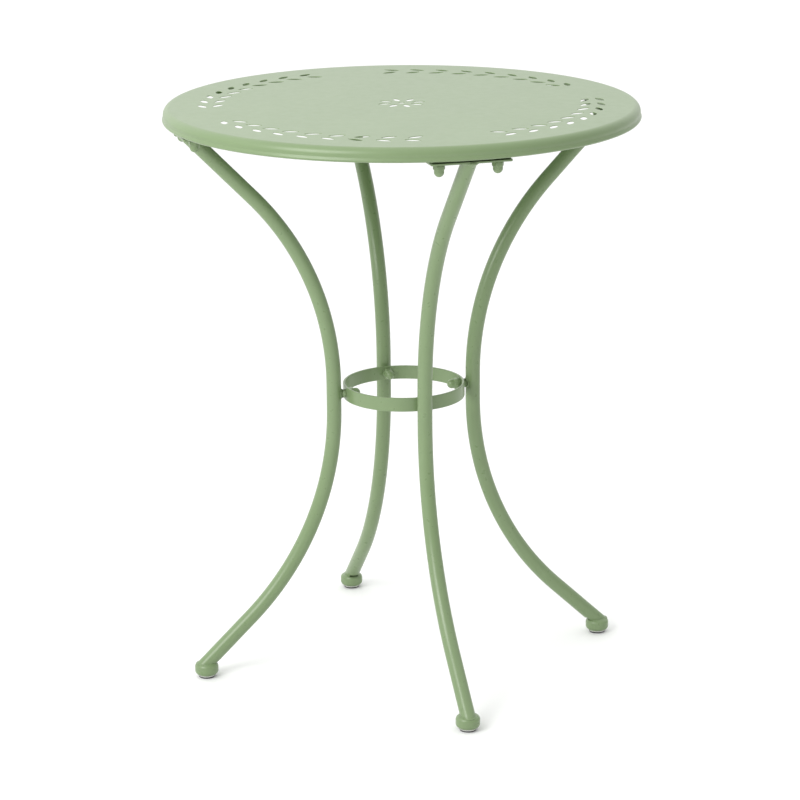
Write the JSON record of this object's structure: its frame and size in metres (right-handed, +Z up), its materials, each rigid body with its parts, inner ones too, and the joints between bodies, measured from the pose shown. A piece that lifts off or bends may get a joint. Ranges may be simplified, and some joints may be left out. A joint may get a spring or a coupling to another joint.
{
  "type": "bistro table",
  "caption": "Round bistro table: punched steel top with a turned-down rim on splayed bent-tube legs tied by a flat waist ring, with screw levelling feet.",
  "frame": {"origin": "on the floor under the middle of the table, at the centre of the four feet", "axes": "+Z up, a leg on each of +X, -X, +Y and -Y; -Y is the leg nearest the viewer"},
  "size_m": [0.6, 0.6, 0.738],
  "materials": {
    "top_paint": "satin sage-green powder coat on the pressed top",
    "frame_paint": "satin sage-green powder coat with fine orange peel",
    "zinc_plate": "bright zinc plate",
    "sole_plastic": "matt moulded plastic"
  },
  "bodies": {
    "frame": {"tabletop": "top_paint", "waist_ring": "frame_paint", "leg_right": "frame_paint", "leg_plate_right": "frame_paint", "top_channel_right": "frame_paint", "ring_boss_right": "frame_paint", "ring_washer_right": "frame_paint", "ring_cap_nut_right": "frame_paint", "foot_cup_right": "frame_paint", "top_washer_right_a": "frame_paint", "top_cap_nut_right_a": "frame_paint", "top_washer_right_b": "frame_paint", "top_cap_nut_right_b": "frame_paint", "threaded_insert_right": "zinc_plate", "leg_back": "frame_paint", "leg_plate_back": "frame_paint", "top_channel_back": "frame_paint", "ring_boss_back": "frame_paint", "ring_washer_back": "frame_paint", "ring_cap_nut_back": "frame_paint", "foot_cup_back": "frame_paint", "top_washer_back_a": "frame_paint", "top_cap_nut_back_a": "frame_paint", "top_washer_back_b": "frame_paint", "top_cap_nut_back_b": "frame_paint", "threaded_insert_back": "zinc_plate", "leg_left": "frame_paint", "leg_plate_left": "frame_paint", "top_channel_left": "frame_paint", "ring_boss_left": "frame_paint", "ring_washer_left": "frame_paint", "ring_cap_nut_left": "frame_paint", "foot_cup_left": "frame_paint", "top_washer_left_a": "frame_paint", "top_cap_nut_left_a": "frame_paint", "top_washer_left_b": "frame_paint", "top_cap_nut_left_b": "frame_paint", "threaded_insert_left": "zinc_plate", "leg_front": "frame_paint", "leg_plate_front": "frame_paint", "top_channel_front": "frame_paint", "ring_boss_front": "frame_paint", "ring_washer_front": "frame_paint", "ring_cap_nut_front": "frame_paint", "foot_cup_front": "frame_paint", "top_washer_front_a": "frame_paint", "top_cap_nut_front_a": "frame_paint", "top_washer_front_b": "frame_paint", "top_cap_nut_front_b": "frame_paint", "threaded_insert_front": "zinc_plate"},
    "glide_right": {"glide_base_right": "zinc_plate"},
    "leveller_right": {"levelling_stud_right": "zinc_plate"},
    "glide_back": {"glide_base_back": "zinc_plate"},
    "leveller_back": {"levelling_stud_back": "zinc_plate"},
    "glide_left": {"glide_base_left": "zinc_plate"},
    "leveller_left": {"levelling_stud_left": "zinc_plate"},
    "glide_front": {"glide_base_front": "zinc_plate"},
    "leveller_front": {"levelling_stud_front": "zinc_plate"}
  },
  "joints": [
    {"name": "foot_travel_right", "type": "slide", "parent": "frame", "child": "leveller_right", "axis": [0, 0, -1], "range_m": [-0.0025, 0.006]},
    {"name": "glide_swivel_right", "type": "hinge", "parent": "leveller_right", "child": "glide_right", "pos_m": [0.27, 0, 0.003], "axis": [0, 0, 1], "continuous": true},
    {"name": "foot_travel_back", "type": "slide", "parent": "frame", "child": "leveller_back", "axis": [0, 0, -1], "range_m": [-0.0025, 0.006]},
    {"name": "glide_swivel_back", "type": "hinge", "parent": "leveller_back", "child": "glide_back", "pos_m": [0, 0.27, 0.003], "axis": [0, 0, 1], "continuous": true},
    {"name": "foot_travel_left", "type": "slide", "parent": "frame", "child": "leveller_left", "axis": [0, 0, -1], "range_m": [-0.0025, 0.006]},
    {"name": "glide_swivel_left", "type": "hinge", "parent": "leveller_left", "child": "glide_left", "pos_m": [-0.27, 0, 0.003], "axis": [0, 0, 1], "continuous": true},
    {"name": "foot_travel_front", "type": "slide", "parent": "frame", "child": "leveller_front", "axis": [0, 0, -1], "range_m": [-0.0025, 0.006]},
    {"name": "glide_swivel_front", "type": "hinge", "parent": "leveller_front", "child": "glide_front", "pos_m": [0, -0.27, 0.003], "axis": [0, 0, 1], "continuous": true}
  ]
}
